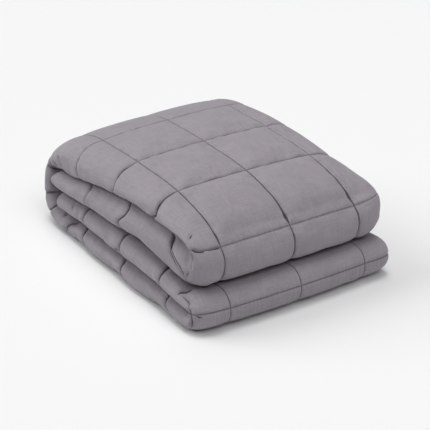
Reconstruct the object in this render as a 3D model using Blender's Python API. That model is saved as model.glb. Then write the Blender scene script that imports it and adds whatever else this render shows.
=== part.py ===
"""A quilted weighted blanket, folded to a thick pile of four padded layers.

The blanket lies in a long strip. Both ends of the strip are folded in, and the strip is then folded
in half, so the front shows two rolled folds, one on the other, and the back is one large wrap.
It is modelled as it was folded: one flat quilted tube, a grid of sewn squares, whose cross sections
are carried along the folded path. Metres, +Z up, the front rolls at -Y, the back wrap at +Y.
"""

import math

import bmesh
import bpy
import numpy as np

# ---------------------------------------------------------------- driving sizes, in metres
SQUARE_ACROSS = 0.125  # quilt square across the strip, seam to seam
SQUARE_ALONG = 0.125  # and along it
LAYER_GAP = 0.002  # daylight left between two layers
SEAM_DEPTH_OUTER = 0.0040  # how far a seam draws the cloth in, on the faces that show
SEAM_DEPTH_INNER = 0.0030  # the same where two layers press on each other
SEAM_DEPTH_SIDE = 0.0080  # and on the loose rolled sides
SEAM_DEPTH_MOST = 0.13  # but never more than this share of the layer's thickness
SEAM_REACH = 0.020  # the cloth is back at its full height this far from a seam
SQUARE_CROWN = 0.0025  # extra height of a square's middle, on the faces that show
CROWN_DROP = 0.020  # share of the height lost one square from the middle line
CROWN_POWER = 2.5
CROWN_AT_FRONT = 0.25  # the share of that drop that the front rolls have
CROWN_FULL_Y = 0.120  # and where it has come up to the whole
BACK_TILT = 0.030  # the back of the pile leans up to the right by this share
TILT_Y = (0.110, 0.360)  # where the lean begins, and where it is whole
FRONT_BOW = 0.006  # the lower roll stands this much less far forward at its left end
FRONT_BOW_X = (0.055, -0.125)  # where it stands furthest forward, and that left end
FRONT_BOW_Y = (0.100, 0.000)  # the bow fades out towards the back
FRONT_BOW_Z = (0.110, 0.060)  # and up the upper roll
HEM_THICKNESS = 0.006
HEM_SETBACK = 0.004  # the hems stop this far short of the wrap's inner face
HEM_TUCK = 0.010  # how far the strip's sides draw in at its hems
HEM_REACH = 0.2  # and over how much of the hem square
LEAST_SIDE = 0.35  # share of the side's roll that is kept past the outermost seam
SAME_POINT = 1e-6

# The front rolls and the back wrap, in the pile's own Y: 0 is the seam on the upper roll.
UPPER_ROLL_Y = 0.024
UPPER_ROLL_Z = 0.102  # height of its foremost line
UPPER_ROLL_FRONT = 0.034
UPPER_ROLL_SQUARENESS = 2.4
SHOULDER_END_Y = 0.200  # where the slope over the upper roll has run level into the top
TOP_HEIGHT = 0.183
TOP_ARCH = 0.003
WRAP_TOP_Y = 0.345
WRAP_Z = 0.092  # height of the wrap's rearmost line
WRAP_UPPER_REACH = 0.132
WRAP_LOWER_REACH = 0.090
WRAP_LOWER_SQUARENESS = 2.6
WRAP_INNER_Y = 0.398
LOWER_ROLL_Y = 0.0
LOWER_ROLL_FRONT = 0.032

# Heights of the faces between two layers, at the pile's middle line.
# Y, over the bottom layer, between the inner layers, under the top layer
LEVELS = (
    (0.000, 0.0310, 0.0600, 0.1290),
    (0.034, 0.0370, 0.0640, 0.1330),
    (0.090, 0.0385, 0.0740, 0.1400),
    (0.160, 0.0385, 0.0800, 0.1430),
    (0.250, 0.0390, 0.0790, 0.1370),
    (0.310, 0.0395, 0.0780, 0.1290),
    (0.398, 0.0380, 0.0780, 0.1160),
    (0.440, 0.0380, 0.0780, 0.1160),
)

# The strip at each cross seam: seam, how long the square before it lies, left edge, right edge, how
# far the rolled side starts before the edge on the outer and on the inner face, and the height of
# the side's widest point between the inner (0) and the outer (1) face.
SEAMS = (
    (0, 0.000, -0.170, 0.166, 0.024, 0.024, 0.50),  # hem of the upper inner layer
    (1, 0.113, -0.175, 0.174, 0.026, 0.024, 0.50),
    (2, 0.124, -0.178, 0.176, 0.026, 0.024, 0.50),
    (3, 0.124, -0.178, 0.175, 0.030, 0.024, 0.50),
    (4, 0.137, -0.181, 0.174, 0.044, 0.020, 0.40),  # front of the upper roll
    (5, 0.123, -0.175, 0.172, 0.052, 0.018, 0.30),  # top layer
    (6, 0.125, -0.177, 0.179, 0.050, 0.018, 0.30),
    (7, 0.125, -0.181, 0.179, 0.044, 0.018, 0.36),
    (8, 0.113, -0.184, 0.180, 0.036, 0.020, 0.44),  # back wrap, upper shoulder
    (9, 0.120, -0.185, 0.182, 0.028, 0.022, 0.46),  # back wrap, foot
    (10, 0.130, -0.190, 0.186, 0.024, 0.024, 0.50),  # bottom layer
    (11, 0.130, -0.191, 0.187, 0.024, 0.024, 0.50),
    (12, 0.130, -0.188, 0.186, 0.026, 0.024, 0.50),
    (13, 0.130, -0.186, 0.184, 0.034, 0.018, 0.44),  # front of the lower roll
    (14, 0.118, -0.188, 0.185, 0.026, 0.022, 0.50),
    (15, 0.122, -0.188, 0.186, 0.024, 0.022, 0.50),
    (16, 0.122, -0.186, 0.182, 0.024, 0.022, 0.50),
    (17, 0.119, -0.174, 0.172, 0.022, 0.022, 0.50),  # hem of the lower inner layer
)

# Where a square is cut by the mesh, as shares of the square. Seams lie at 0 and 1.
ALONG_CUTS = (0.0, 0.06, 0.16, 0.32, 0.50, 0.68, 0.84, 0.94)
ACROSS_CUTS = (0.0, 0.07, 0.20, 0.50, 0.80, 0.93)
INNER_CUTS = (0.0, 0.14, 0.50, 0.86)
SIDE_CUTS = (0.16, 0.34, 0.54, 0.77)  # from the outer seam to the widest point
UNDER_CUTS = (0.33, 0.67)  # from the widest point to the inner face

CLOTH_COLOUR = (0.33, 0.30, 0.335, 1.0)
CLOTH_ROUGHNESS = 0.75


def smooth_through(rows, column, places):
    """Values of a table's column at the given places, on a smooth curve through its rows."""
    x = np.array([row[0] for row in rows], float)
    y = np.array([row[column] for row in rows], float)
    slope = np.gradient(y, x)
    places = np.clip(places, x[0], x[-1])
    i = np.clip(np.searchsorted(x, places, side="right") - 1, 0, len(x) - 2)
    step = x[i + 1] - x[i]
    t = (places - x[i]) / step
    return (
        (2 * t**3 - 3 * t**2 + 1) * y[i]
        + (t**3 - 2 * t**2 + t) * step * slope[i]
        + (3 * t**2 - 2 * t**3) * y[i + 1]
        + (t**3 - t**2) * step * slope[i + 1]
    )


def level(number, y):
    """Height of the face between two layers: 1 lowest, 3 under the top layer."""
    return smooth_through(LEVELS, number, np.asarray(y, float))


def quarter(centre, reach, rise, start_deg, end_deg, power=2.0, points=160):
    """Part of an ellipse, or of a squarer superellipse. 0 degrees is +Y, 90 is +Z."""
    angle = np.radians(np.linspace(start_deg, end_deg, points))
    c, s = np.cos(angle), np.sin(angle)
    y = centre[0] + reach * np.sign(c) * np.abs(c) ** (2 / power)
    z = centre[1] + rise * np.sign(s) * np.abs(s) ** (2 / power)
    return np.column_stack([y, z])


def outer_path():
    """The strip's outer face in the pile's Y and Z, from one hem to the other."""
    half_gap = LAYER_GAP / 2
    hem_y = WRAP_INNER_Y + inner_wrap_radius() - HEM_SETBACK
    inner_run = np.linspace(hem_y, UPPER_ROLL_Y, 300)
    upper_inner = np.column_stack([inner_run, level(2, inner_run) + half_gap])
    below = UPPER_ROLL_Z - upper_inner[-1, 1]
    roll = (UPPER_ROLL_Y, UPPER_ROLL_Z)
    roll_under = quarter(roll, UPPER_ROLL_FRONT, below, 270, 180, UPPER_ROLL_SQUARENESS)
    slope = SHOULDER_END_Y - UPPER_ROLL_Y + UPPER_ROLL_FRONT
    rise = TOP_HEIGHT - UPPER_ROLL_Z
    shoulder = quarter((SHOULDER_END_Y, UPPER_ROLL_Z), slope, rise, 180, 90)
    top_y = np.linspace(SHOULDER_END_Y, WRAP_TOP_Y, 160)
    share = (top_y - SHOULDER_END_Y) / (WRAP_TOP_Y - SHOULDER_END_Y)
    top = np.column_stack([top_y, TOP_HEIGHT + TOP_ARCH * np.sin(math.pi * share)])
    wrap_upper = quarter((WRAP_TOP_Y, WRAP_Z), WRAP_UPPER_REACH, TOP_HEIGHT - WRAP_Z, 90, 0)
    foot_y = WRAP_TOP_Y + WRAP_UPPER_REACH - WRAP_LOWER_REACH
    wrap_lower = quarter((foot_y, WRAP_Z), WRAP_LOWER_REACH, WRAP_Z, 0, -90, WRAP_LOWER_SQUARENESS)
    floor_y = np.linspace(foot_y, LOWER_ROLL_Y, 300)
    floor = np.column_stack([floor_y, np.zeros(len(floor_y))])
    low_z = (float(level(2, LOWER_ROLL_Y)) - half_gap) / 2
    low_roll = quarter((LOWER_ROLL_Y, low_z), LOWER_ROLL_FRONT, low_z, 270, 90)
    back_run = np.linspace(LOWER_ROLL_Y, hem_y, 300)
    lower_inner = np.column_stack([back_run, level(2, back_run) - half_gap])
    runs = {
        "upper inner": upper_inner,
        "upper roll": np.concatenate([roll_under, shoulder]),
        "top": top,
        "wrap": np.concatenate([wrap_upper, wrap_lower]),
        "bottom": floor,
        "lower roll": low_roll,
        "lower inner": lower_inner,
    }
    path = np.concatenate(list(runs.values()))
    run_names = np.concatenate([np.full(len(points), name) for name, points in runs.items()])
    apart = np.append(True, np.linalg.norm(np.diff(path, axis=0), axis=1) > SAME_POINT)
    return path[apart], run_names[apart]


def inner_wrap_radius():
    """Half the height of the room inside the back wrap, where the two hems nestle."""
    return float(level(3, WRAP_INNER_Y) - level(1, WRAP_INNER_Y)) / 2


def fan(point, centre, radius):
    """The point at a radius from a fold's centre, on the line to the outer face."""
    away = point - centre
    return centre + away * (radius / np.linalg.norm(away))


def inner_point(point, run):
    """The inner face's point across the layer from an outer one. Layers are cut upright, and the
    rolls and the wrap are cut in a fan about their centres."""
    half_gap = LAYER_GAP / 2
    y, z = point
    wrap_centre = np.array([WRAP_INNER_Y, float(level(1, WRAP_INNER_Y)) + inner_wrap_radius()])
    wrap_radius = inner_wrap_radius() + half_gap
    if run in ("upper inner", "lower inner"):
        number, side = (3, -1.0) if run == "upper inner" else (1, 1.0)
        past = y - WRAP_INNER_Y
        if past <= 0:
            return np.array([y, float(level(number, y)) + side * half_gap])
        nestle = math.sqrt(max((wrap_radius - LAYER_GAP) ** 2 - past**2, 0.0))
        hem = HEM_THICKNESS + abs(z - wrap_centre[1])
        return np.array([y, wrap_centre[1] - side * max(nestle, hem)])
    if run == "upper roll" and y <= UPPER_ROLL_Y:
        return fan(point, np.array([UPPER_ROLL_Y, float(level(3, UPPER_ROLL_Y))]), half_gap)
    if run == "lower roll":
        return fan(point, np.array([LOWER_ROLL_Y, float(level(1, LOWER_ROLL_Y))]), half_gap)
    if y > WRAP_INNER_Y:
        return fan(point, wrap_centre, wrap_radius)
    if z < WRAP_Z:
        return np.array([y, float(level(1, y)) - half_gap])
    return np.array([y, float(level(3, y)) + half_gap])


def sections():
    """For each cut across the strip: its place in squares, its outer and inner points, its run."""
    path, run_names = outer_path()
    distance = np.append(0.0, np.cumsum(np.linalg.norm(np.diff(path, axis=0), axis=1)))
    squares = len(SEAMS) - 1
    places = np.array([n + cut for n in range(squares) for cut in ALONG_CUTS] + [squares], float)
    lengths = np.cumsum([row[1] for row in SEAMS])
    seam_at = lengths * distance[-1] / lengths[-1]
    cut_at = np.interp(places, np.arange(len(SEAMS)), seam_at)
    inner = np.array([inner_point(point, run) for point, run in zip(path, run_names)])
    outer_cuts = np.column_stack([np.interp(cut_at, distance, path[:, k]) for k in (0, 1)])
    inner_cuts = np.column_stack([np.interp(cut_at, distance, inner[:, k]) for k in (0, 1)])
    cut_runs = run_names[np.clip(np.searchsorted(distance, cut_at), 0, len(run_names) - 1)]
    return places, outer_cuts, inner_cuts, cut_runs


def ring_places():
    """The cuts round the strip: (face, place), outer face left to right and back on the inner.
    On a face the place is in squares from the middle line, and 1.5 is the widest point."""
    outer = [n + cut for n in (-1, 0) for cut in ACROSS_CUTS] + [1.0]
    side = [1.0 + 0.5 * cut for cut in SIDE_CUTS]
    under = [1.5 - 0.5 * cut for cut in UNDER_CUTS]
    inner = [1.0 - n - cut for n in (0, 1) for cut in INNER_CUTS] + [-1.0]
    ring = [("outer", q) for q in outer + side]
    ring += [("edge", 1.5)] + [("under", q) for q in under]
    ring += [("inner", q) for q in inner]
    ring += [("under", -q) for q in reversed(under)] + [("edge", -1.5)]
    ring += [("outer", -q) for q in reversed(side)]
    return ring


def ring_point(face, q, left, right, roll_out, roll_in, widest):
    """(X, share of the way from the inner to the outer face) of one point of a cross section."""
    edge = left if q < 0 else right
    sign = -1.0 if q < 0 else 1.0
    reach = abs(edge)
    if face in ("outer", "edge"):
        flat = reach - roll_out
        seam_x = min(SQUARE_ACROSS, reach - LEAST_SIDE * roll_out)
        if abs(q) <= 1.0:
            x = abs(q) * seam_x
            past = max(x - flat, 0.0) / roll_out
            drop = 1 - math.sqrt(1 - past**2)
        else:
            first = math.asin(max(seam_x - flat, 0.0) / roll_out)
            angle = first + (math.pi / 2 - first) * (abs(q) - 1.0) / 0.5
            x = max(flat, 0.0) + roll_out * math.sin(angle)
            drop = 1 - math.cos(angle)
        return sign * x, 1.0 - (1.0 - widest) * drop
    if face == "under":
        angle = math.pi / 2 * (1.5 - abs(q)) / 0.5
        return sign * (reach - roll_in * (1 - math.cos(angle))), widest * (1 - math.sin(angle))
    return sign * (reach - roll_in) * abs(q), 0.0


def seam_rise(distance):
    """0 on a seam, 1 where the cloth is back at full height: a round shoulder."""
    t = np.clip(distance / SEAM_REACH, 0.0, 1.0)
    return np.sqrt(1 - (1 - t) ** 2)


def ramp(values, start, end):
    """0 at the start value, 1 at the end value, and straight between them."""
    return np.clip((values - start) / (end - start), 0.0, 1.0)


def crowned(points):
    """The pile is highest along its middle line, and a little higher at the back right. The lower
    roll bows forward, most to the right of the middle."""
    x, y, z = points[..., 0], points[..., 1], points[..., 2]
    back = ramp(y, 0.0, CROWN_FULL_Y)
    full = CROWN_AT_FRONT + (1 - CROWN_AT_FRONT) * back * back * (3 - 2 * back)
    drop = CROWN_DROP * full * np.abs(x / SQUARE_ACROSS) ** CROWN_POWER
    tilt = BACK_TILT * ramp(y, *TILT_Y) * x / SQUARE_ACROSS
    bow = FRONT_BOW * ((x - FRONT_BOW_X[0]) / (FRONT_BOW_X[1] - FRONT_BOW_X[0])) ** 2
    points[..., 2] = z * (1 - drop + tilt)
    points[..., 1] = y + bow * ramp(y, *FRONT_BOW_Y) * ramp(z, *FRONT_BOW_Z)
    return points


def normals(points):
    """Unit outward directions of a closed tube of points."""
    along = np.gradient(points, axis=0)
    across = np.roll(points, -1, axis=1) - np.roll(points, 1, axis=1)
    facing = np.cross(across, along)
    return facing / np.linalg.norm(facing, axis=2, keepdims=True)


def seam_depths(places, runs, ring, thickness):
    """How far each point is drawn in by the seams near it, less the square's crown."""
    along = np.abs(places - np.round(places))[:, None] * SQUARE_ALONG
    q = np.array([place for _, place in ring])
    across = np.abs(q - np.round(q))[None, :] * SQUARE_ACROSS
    face = np.array([name for name, _ in ring])
    on_side = (np.abs(q) > 1.0) | (face == "edge") | (face == "under")
    across = np.where(on_side[None, :] & (face != "outer")[None, :], SEAM_REACH, across)
    shows = np.isin(runs, ("upper roll", "top", "wrap", "lower roll"))[:, None]
    base = np.where((face == "inner")[None, :] | ~shows, SEAM_DEPTH_INNER, SEAM_DEPTH_OUTER)
    most = SEAM_DEPTH_MOST * thickness[:, None]
    base = np.minimum(base, most)
    side_depth = np.where(on_side[None, :], np.minimum(SEAM_DEPTH_SIDE, most), base)
    rise_along, rise_across = seam_rise(along), seam_rise(across)
    depth = side_depth * (1 - rise_along) + base * rise_along * (1 - rise_across)
    crown = np.sin(math.pi * along / SQUARE_ALONG) * np.sin(math.pi * across / SQUARE_ACROSS)
    return depth - np.where(shows & (face != "inner"), SQUARE_CROWN * crown, 0.0)


def pile_points():
    """A grid of points: a row for each cut along the strip, a column for each cut round it."""
    places, outer, inner, runs = sections()
    ring = ring_places()
    columns = [smooth_through(SEAMS, n, places) for n in range(2, 7)]
    points = np.zeros((len(places), len(ring), 3))
    for i, (far, near) in enumerate(zip(outer, inner)):
        left, right, roll_out, roll_in, widest = (column[i] for column in columns)
        near_hem = 1 - min(places[i], places[-1] - places[i], HEM_REACH) / HEM_REACH
        tuck = HEM_TUCK * near_hem**2
        for j, (face, q) in enumerate(ring):
            x, share = ring_point(face, q, left + tuck, right - tuck, roll_out, roll_in, widest)
            y, z = near + (far - near) * share
            points[i, j] = x, y, z
    points = crowned(points)
    thickness = np.linalg.norm(outer - inner, axis=1)
    depth = seam_depths(places, runs, ring, thickness)
    points = points - normals(points) * depth[..., None]
    points[..., 2] = np.maximum(points[..., 2], 0.0)
    return points


def centred(points):
    """The same points about the middle of their own box, still standing on Z = 0."""
    corners = points.reshape(-1, 3)
    middle = (corners.min(axis=0) + corners.max(axis=0)) / 2
    return points - np.array([middle[0], middle[1], 0.0])


def folded_strip(name):
    """A flat grid, rolled into a tube, carried along the folds, and closed at its two hems."""
    points = centred(pile_points())
    rows, columns = points.shape[:2]
    bm = bmesh.new()
    bmesh.ops.create_grid(bm, x_segments=columns, y_segments=rows - 1, size=0.5)
    bm.verts.ensure_lookup_table()
    for vert in bm.verts:
        i, j = divmod(vert.index, columns + 1)
        vert.co = points[i, j % columns]
    bmesh.ops.remove_doubles(bm, verts=bm.verts, dist=SAME_POINT)
    open_edges = [edge for edge in bm.edges if edge.is_boundary]
    bmesh.ops.holes_fill(bm, edges=open_edges, sides=0)
    bmesh.ops.recalc_face_normals(bm, faces=bm.faces)
    mesh = bpy.data.meshes.new(name)
    bm.to_mesh(mesh)
    bm.free()
    mesh.shade_smooth()
    blanket = bpy.data.objects.new(name, mesh)
    bpy.context.scene.collection.objects.link(blanket)
    return blanket


def cloth_material():
    material = bpy.data.materials.new("grey_cloth")
    material.use_nodes = True
    shader = material.node_tree.nodes["Principled BSDF"]
    shader.inputs["Base Color"].default_value = CLOTH_COLOUR
    shader.inputs["Roughness"].default_value = CLOTH_ROUGHNESS
    shader.inputs["Metallic"].default_value = 0.0
    return material


def main():
    for old in list(bpy.data.objects):
        bpy.data.objects.remove(old)
    blanket = folded_strip("folded_blanket")
    blanket.data.materials.append(cloth_material())


main()
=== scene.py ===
# %% [markdown]
# # A folded weighted blanket
#
# The real blanket is two faces of one grey cloth, sewn together in a grid of squares with filling in
# each square. It lies folded: first lengthwise into a strip three squares wide, then with both ends
# of the strip folded in, then in half. We build it in the same order: a flat strip, folded, filled
# with air until it is plump, and only then sewn, creased and stitched.
#
# Sizes are in metres where nothing else is said. X runs across the pile, Y from its two front
# rolls to its back wrap, and Z up from the surface it lies on.

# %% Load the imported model
import math

import bpy
import numpy as np
from mathutils import Matrix, Vector


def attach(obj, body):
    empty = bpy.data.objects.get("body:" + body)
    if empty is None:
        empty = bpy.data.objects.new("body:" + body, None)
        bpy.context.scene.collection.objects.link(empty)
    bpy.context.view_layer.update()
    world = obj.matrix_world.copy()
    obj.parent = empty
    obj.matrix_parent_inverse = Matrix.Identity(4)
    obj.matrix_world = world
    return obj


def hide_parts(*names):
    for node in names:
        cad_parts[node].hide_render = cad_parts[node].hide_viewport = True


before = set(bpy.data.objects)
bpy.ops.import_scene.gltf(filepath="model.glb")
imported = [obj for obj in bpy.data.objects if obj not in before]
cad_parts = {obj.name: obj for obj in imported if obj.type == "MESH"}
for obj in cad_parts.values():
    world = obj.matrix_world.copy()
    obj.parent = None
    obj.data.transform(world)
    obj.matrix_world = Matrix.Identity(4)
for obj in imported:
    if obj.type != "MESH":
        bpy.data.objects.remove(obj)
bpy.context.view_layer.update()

# %% [markdown]
# ## The camera
#
# The photograph looks down on the pile's front left corner with a long lens. The angles and the
# distance below come from matching the crossings of the quilt lines, which are a known size apart.

# %% Place the camera
AZIMUTH = math.radians(-33.76)
ELEVATION = math.radians(25.89)
LENS = 92.1  # millimetres, on a sensor 36 mm wide
DISTANCE = 1.600
AIM = Vector((-0.1048, -0.1791, 0.1543))

level_reach = math.cos(ELEVATION)
back = Vector(
    (math.sin(AZIMUTH) * level_reach, -math.cos(AZIMUTH) * level_reach, math.sin(ELEVATION))
)
bpy.ops.object.camera_add(location=AIM + back * DISTANCE)
camera = bpy.context.object
camera.name = "camera"
camera.rotation_euler = back.to_track_quat("Z", "Y").to_euler()
camera.data.sensor_width = 36
camera.data.lens = LENS
bpy.context.scene.camera = camera
print("camera at", [round(v, 3) for v in camera.location])

# %% [markdown]
# ## Small helpers
#
# An operator works on whatever is selected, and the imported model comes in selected, so each step
# selects just its own piece. A new primitive is the only thing selected from the start.

# %% Helpers for selecting, reading and writing
def only(piece):
    """Selects one piece alone and makes it the active one."""
    bpy.ops.object.select_all(action="DESELECT")
    piece.select_set(True)
    bpy.context.view_layer.objects.active = piece


def read(source, name, width=3):
    """What a mesh says of each of its vertices, as an array with a row each."""
    flat = np.zeros(len(source) * width)
    source.foreach_get(name, flat)
    return flat.reshape(-1, width)


def read_points(piece):
    return read(piece.data.vertices, "co")


def read_normals(piece):
    return read(piece.data.vertex_normals, "vector")


def read_number(piece, name):
    return read(piece.data.attributes[name].data, "value", 1)[:, 0]


def write_points(piece, points):
    piece.data.vertices.foreach_set("co", points.ravel())
    piece.data.update()


def write_number(piece, name, values):
    attribute = piece.data.attributes.new(name, "FLOAT", "POINT")
    attribute.data.foreach_set("value", np.asarray(values, np.float32))


def ramp(values, start, end):
    """0 at the start value, 1 at the end value, and straight between them."""
    return np.clip((values - start) / (end - start), 0.0, 1.0)


def smooth_ramp(values, start, end):
    t = ramp(values, start, end)
    return t * t * (3 - 2 * t)


print("helpers ready")

# %% [markdown]
# ## The folded shape
#
# The strip is four layers when it is folded: bottom, lower inner, upper inner and top. Its outer
# face follows one path in Y and Z: in along the upper inner layer, round the upper front roll, over
# the top, round the back wrap, along the floor, round the lower front roll and back in. The pile
# could be sculpted by eye instead, but a path keeps every quilt square the right length, so the
# seams land where the real ones do.
#
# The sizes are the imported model's. The pile's own Y is 0 at the seam on the upper front roll.

# %% Sizes of the quilting and of the pile
SQUARE = 0.125  # a quilt square, seam to seam
LAYER_GAP = 0.002
CROWN_DROP = 0.02  # share of its height lost one square out from the pile's middle line
CROWN_POWER = 2.5
CROWN_AT_FRONT = 0.25  # share of that drop at the front seam
CROWN_FULL_Y = 0.12  # and from here back it is whole
BACK_TILT = 0.03  # share of its height gained one square to the right, at the back
TILT_Y = (0.11, 0.36)
FRONT_BOW = 0.006  # how far the lower roll's left end lies back from its middle
FRONT_BOW_X = (0.055, -0.125)
FRONT_BOW_Y = (0.1, 0.0)
FRONT_BOW_Z = (0.11, 0.06)
HEM_THICKNESS = 0.006
HEM_SETBACK = (0.008, 0.022)  # of the upper and the lower inner layer, from the wrap
HEM_TUCK = 0.012  # how far the rolled sides draw in at a hem
HEM_REACH = 0.10  # over this share of a square
HEM_LIFT = (0.018, 0.008)  # how far the upper and the lower inner hem curl apart
HEM_CURL = 0.031  # over this length
LEAST_SIDE = 0.35  # share of a side's roll that stays beyond the outermost seam

UPPER_ROLL_Y = 0.024
UPPER_ROLL_Z = 0.102
UPPER_ROLL_FRONT = 0.037
UPPER_ROLL_SQUARENESS = 2.7
SHOULDER_END_Y = 0.200
TOP_HEIGHT = 0.183
TOP_ARCH = 0.003
WRAP_TOP_Y = 0.345
WRAP_Z = 0.092
WRAP_UPPER_REACH = 0.132
WRAP_LOWER_REACH = 0.090
WRAP_LOWER_SQUARENESS = 2.9
POCKET_SQUARENESS = 3.2
WRAP_INNER_Y = 0.398
LOWER_ROLL_Y = 0.0
LOWER_ROLL_FRONT = 0.032
LOWER_ROLL_SQUARENESS = (1.8, 2.3)  # below and above its front
LOWER_ROLL_CREST = 0.003  # how far the lower roll bulges up in front of where the rolls touch
PILE_CENTRE = (-0.00205, 0.22410)  # the pile's own X and Y that lie at the row's origin

# In millimetres: Y, over the bottom layer, between the inner layers, under the top layer
LEVELS_MM = (
    (0, 32.5, 59, 129),
    (34, 37.5, 61.5, 133),
    (90, 38.5, 74, 140),
    (160, 38.5, 80, 143),
    (250, 39, 79, 137),
    (310, 39.5, 78, 129),
    (398, 38, 78, 116),
    (440, 38, 78, 116),
)
LEVELS = np.array(LEVELS_MM) / 1000

# Seam, and in millimetres the length of the square before it, left edge, right edge, roll of the
# outer face on the left and on the right, and roll of the inner face. Then the height of the widest
# point on the left and on the right, in hundredths of the layer
SEAMS_MM = (
    (0, 0, -189, 182, 20, 20, 20, 50, 50),  # hem of the upper inner layer
    (1, 116, -185, 178, 26, 26, 24, 50, 50),
    (2, 123, -184, 179, 26, 26, 24, 50, 50),
    (3, 125, -180, 179, 26, 24, 22, 50, 46),
    (4, 148, -174, 181, 42, 60, 18, 40, 24),  # front of the upper roll
    (5, 129, -176, 176, 50, 60, 14, 27, 22),  # top layer
    (6, 119, -178, 180, 48, 46, 14, 27, 25),
    (7, 112, -180, 180, 44, 44, 14, 30, 30),
    (8, 125, -181, 178, 34, 34, 20, 44, 44),  # back wrap, upper shoulder
    (9, 122, -188, 184, 26, 26, 22, 46, 46),  # back wrap, foot
    (10, 131, -190, 186, 24, 24, 24, 50, 50),  # bottom layer
    (11, 131, -191, 187, 24, 24, 24, 50, 50),
    (12, 132, -188, 186, 26, 24, 24, 50, 50),
    (13, 127, -186, 185, 34, 28, 18, 44, 44),  # front of the lower roll
    (14, 116, -188, 185, 26, 24, 22, 50, 50),
    (15, 124, -188, 186, 24, 24, 22, 50, 50),
    (16, 122, -186, 182, 24, 24, 22, 50, 50),
    (17, 101, -188, 182, 18, 18, 18, 50, 50),  # hem of the lower inner layer
)
SEAMS = np.array(SEAMS_MM) / ((1,) + 6 * (1000,) + (100, 100))
SQUARES = len(SEAMS) - 1
LONG_SEAMS = (-1, 0, 1)  # the seams that run along the strip, by their place round it
print("squares along the strip:", SQUARES)

# %% The path of the strip's outer face, and the inner face across from it
def smooth_through(rows, column, places):
    """Values of a table's column at the given places, on a smooth curve through its rows."""
    x, y = rows[:, 0], rows[:, column]
    slope = np.gradient(y, x)
    places = np.clip(places, x[0], x[-1])
    i = np.clip(np.searchsorted(x, places, side="right") - 1, 0, len(x) - 2)
    step = x[i + 1] - x[i]
    t = (places - x[i]) / step
    return (
        (2 * t**3 - 3 * t**2 + 1) * y[i]
        + (t**3 - 2 * t**2 + t) * step * slope[i]
        + (3 * t**2 - 2 * t**3) * y[i + 1]
        + (t**3 - t**2) * step * slope[i + 1]
    )


def level(number, y):
    """Height of the face between two layers: 1 lowest, 3 under the top layer."""
    return smooth_through(LEVELS, number, np.asarray(y, float))


def quarter(centre, reach, rise, start_deg, end_deg, power=2.0, points=160):
    """Part of an ellipse, or of a squarer superellipse. 0 degrees is +Y, 90 is +Z."""
    angle = np.radians(np.linspace(start_deg, end_deg, points))
    c, s = np.cos(angle), np.sin(angle)
    y = centre[0] + reach * np.sign(c) * np.abs(c) ** (2 / power)
    z = centre[1] + rise * np.sign(s) * np.abs(s) ** (2 / power)
    return np.column_stack([y, z])


def line(start_y, end_y, height, points=300):
    y = np.linspace(start_y, end_y, points)
    return np.column_stack([y, height(y)])


HALF_GAP = LAYER_GAP / 2
WRAP_ROOM = float(level(3, WRAP_INNER_Y) - level(1, WRAP_INNER_Y)) / 2
WRAP_MIDDLE = np.array([WRAP_INNER_Y, float(level(1, WRAP_INNER_Y)) + WRAP_ROOM])


def curl(y, hem_y, lift):
    """How far an inner layer has curled away from the other one, close to its hem."""
    t = ramp(y, hem_y - HEM_CURL, hem_y)
    return lift * (1 - (1 - t**3) ** (1 / 3))


def arch(y):
    return TOP_HEIGHT + TOP_ARCH * np.sin(math.pi * ramp(y, SHOULDER_END_Y, WRAP_TOP_Y))


def outer_runs():
    """The runs of the outer face, by name, from the upper inner hem to the lower inner one."""
    hem_y, low_hem_y = (WRAP_INNER_Y + WRAP_ROOM - setback for setback in HEM_SETBACK)
    upper_inner = line(
        hem_y, UPPER_ROLL_Y, lambda y: level(2, y) + HALF_GAP + curl(y, hem_y, HEM_LIFT[0])
    )
    lower_inner = line(LOWER_ROLL_Y, low_hem_y, lambda y: level(2, y) - HALF_GAP)
    lower_inner[:, 1] += LOWER_ROLL_CREST * (1 - smooth_ramp(lower_inner[:, 0], 0.0, UPPER_ROLL_Y))
    lower_inner[:, 1] -= curl(lower_inner[:, 0], low_hem_y, HEM_LIFT[1])
    below = UPPER_ROLL_Z - upper_inner[-1, 1]
    roll = (UPPER_ROLL_Y, UPPER_ROLL_Z)
    roll_under = quarter(roll, UPPER_ROLL_FRONT, below, 270, 180, UPPER_ROLL_SQUARENESS)
    slope = SHOULDER_END_Y - UPPER_ROLL_Y + UPPER_ROLL_FRONT
    shoulder = quarter((SHOULDER_END_Y, UPPER_ROLL_Z), slope, TOP_HEIGHT - UPPER_ROLL_Z, 180, 90)
    top = line(SHOULDER_END_Y, WRAP_TOP_Y, arch)
    wrap_upper = quarter((WRAP_TOP_Y, WRAP_Z), WRAP_UPPER_REACH, TOP_HEIGHT - WRAP_Z, 90, 0)
    foot_y = WRAP_TOP_Y + WRAP_UPPER_REACH - WRAP_LOWER_REACH
    wrap_lower = quarter((foot_y, WRAP_Z), WRAP_LOWER_REACH, WRAP_Z, 0, -90, WRAP_LOWER_SQUARENESS)
    low_z = (float(level(2, LOWER_ROLL_Y)) - HALF_GAP) / 2
    low_centre, high_z = (LOWER_ROLL_Y, low_z), low_z + LOWER_ROLL_CREST
    below_front, above_front = LOWER_ROLL_SQUARENESS
    roll_bottom = quarter(low_centre, LOWER_ROLL_FRONT, low_z, 270, 180, below_front)
    roll_crest = quarter(low_centre, LOWER_ROLL_FRONT, high_z, 180, 90, above_front)
    return {
        "upper inner": upper_inner,
        "upper roll": np.concatenate([roll_under, shoulder]),
        "top": top,
        "wrap": np.concatenate([wrap_upper, wrap_lower]),
        "bottom": line(foot_y, LOWER_ROLL_Y, lambda y: np.zeros(len(y))),
        "lower roll": np.concatenate([roll_bottom, roll_crest]),
        "lower inner": lower_inner,
    }


def fan(point, centre, radius, power=2.0):
    """The point at a radius from a fold's centre, on the line to the outer face."""
    away = point - centre
    return centre + away * (radius / (np.abs(away) ** power).sum() ** (1 / power))


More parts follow.
